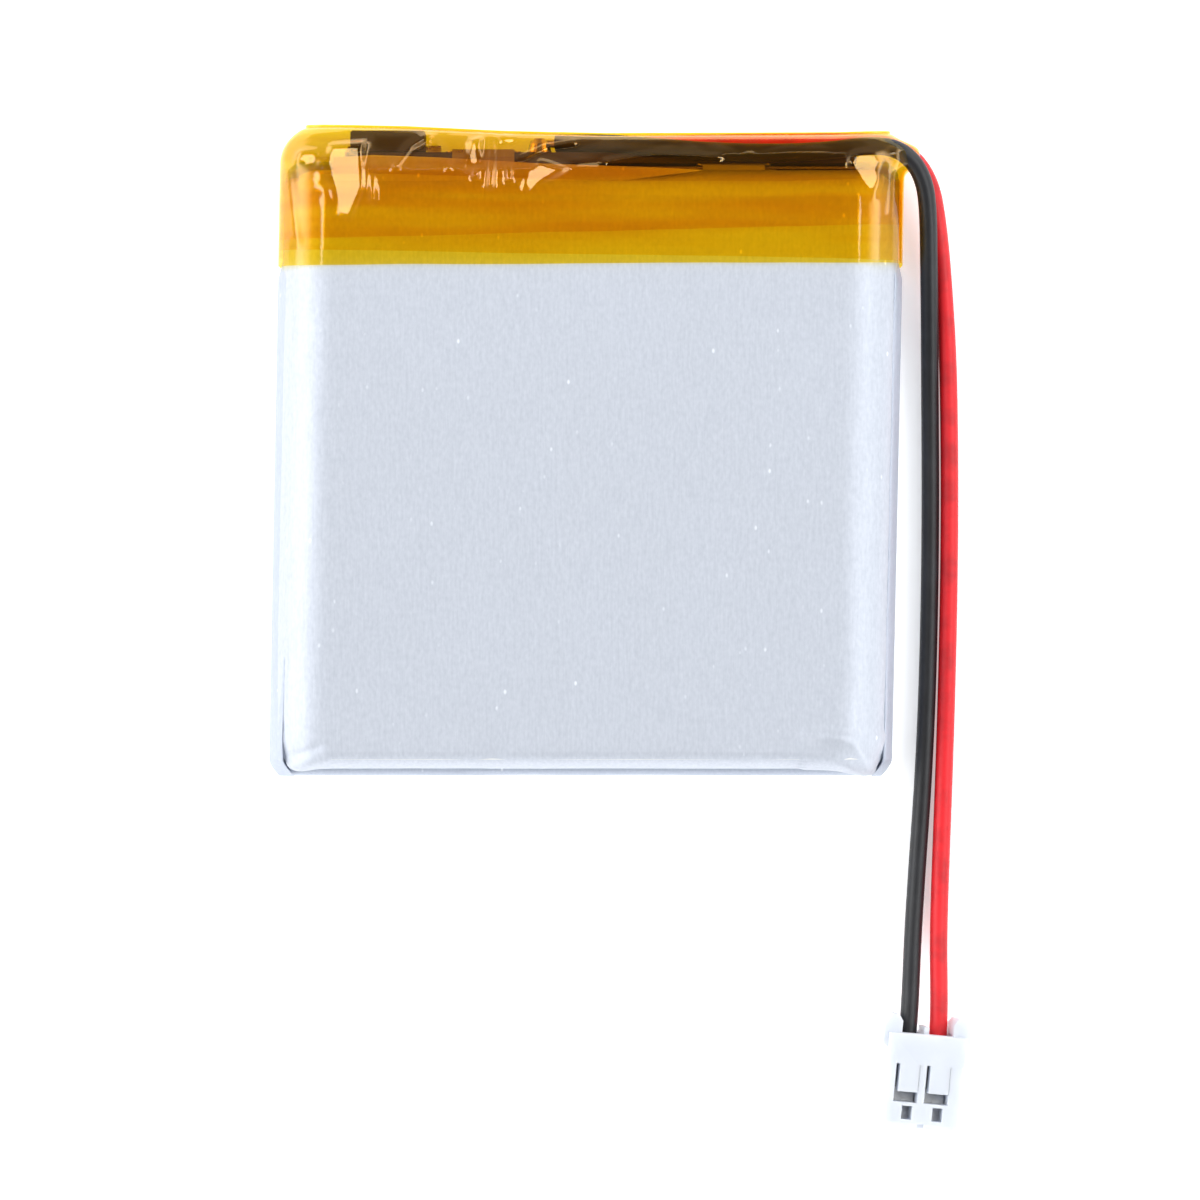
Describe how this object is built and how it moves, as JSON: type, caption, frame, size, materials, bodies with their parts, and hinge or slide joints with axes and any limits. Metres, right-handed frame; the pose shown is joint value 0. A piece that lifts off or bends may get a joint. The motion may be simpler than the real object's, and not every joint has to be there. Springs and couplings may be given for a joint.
{
  "type": "pouch battery cell",
  "caption": "Flat silver lithium polymer pouch cell with an amber taped head, a protection board, red and black leads and a white crimp plug.",
  "frame": {"origin": "bottom centre of the cell's own box, leads and plug left out, on the surface the cell lies on", "axes": "+Z out of the drawn front face, +Y towards the taped head, +X towards the side where the leads leave"},
  "size_m": [0.0448, 0.0646, 0.0062],
  "materials": {
    "laminate_film": "satin",
    "cathode_coating": "matte",
    "anode_coating": "matte",
    "separator_film": "satin",
    "roll_tape": "gloss",
    "tab_aluminium": "satin",
    "nickel_strip": "satin",
    "tab_seal_film": "satin",
    "insulating_paper": "matte",
    "circuit_laminate": "satin",
    "gold_plated_copper": "satin",
    "moulded_epoxy": "matte",
    "resistor_ceramic": "satin",
    "capacitor_ceramic": "satin",
    "tin_plate": "satin",
    "red_pvc": "gloss",
    "black_pvc": "gloss",
    "white_polyamide": "satin",
    "polyimide_tape": "gloss"
  },
  "bodies": {
    "root": {"pouch_front": "laminate_film", "pouch_back": "laminate_film", "cathode_sheet": "cathode_coating", "anode_sheet": "anode_coating", "separator_inner": "separator_film", "separator_outer": "separator_film", "roll_end_tape": "roll_tape", "tab_positive": "tab_aluminium", "tab_negative": "nickel_strip", "weld_plate_positive": "nickel_strip", "weld_plate_negative": "nickel_strip", "tab_seal_positive": "tab_seal_film", "tab_seal_negative": "tab_seal_film", "board_insulator": "insulating_paper", "circuit_board": "circuit_laminate", "board_pads": "gold_plated_copper", "power_switch": "moulded_epoxy", "protection_ic": "moulded_epoxy", "chip_resistors": "resistor_ceramic", "chip_capacitor": "capacitor_ceramic", "power_switch_pins": "tin_plate", "protection_ic_pins": "tin_plate", "chip_terminals": "tin_plate", "solder_joints": "tin_plate", "strands_board_end": "tin_plate", "strands_plug_end": "tin_plate", "contact_negative": "tin_plate", "contact_positive": "tin_plate", "lead_red": "red_pvc", "lead_black": "black_pvc", "plug_housing": "white_polyamide", "tape_inner": "polyimide_tape", "tape_middle": "polyimide_tape", "tape_outer": "polyimide_tape"}
  },
  "joints": []
}
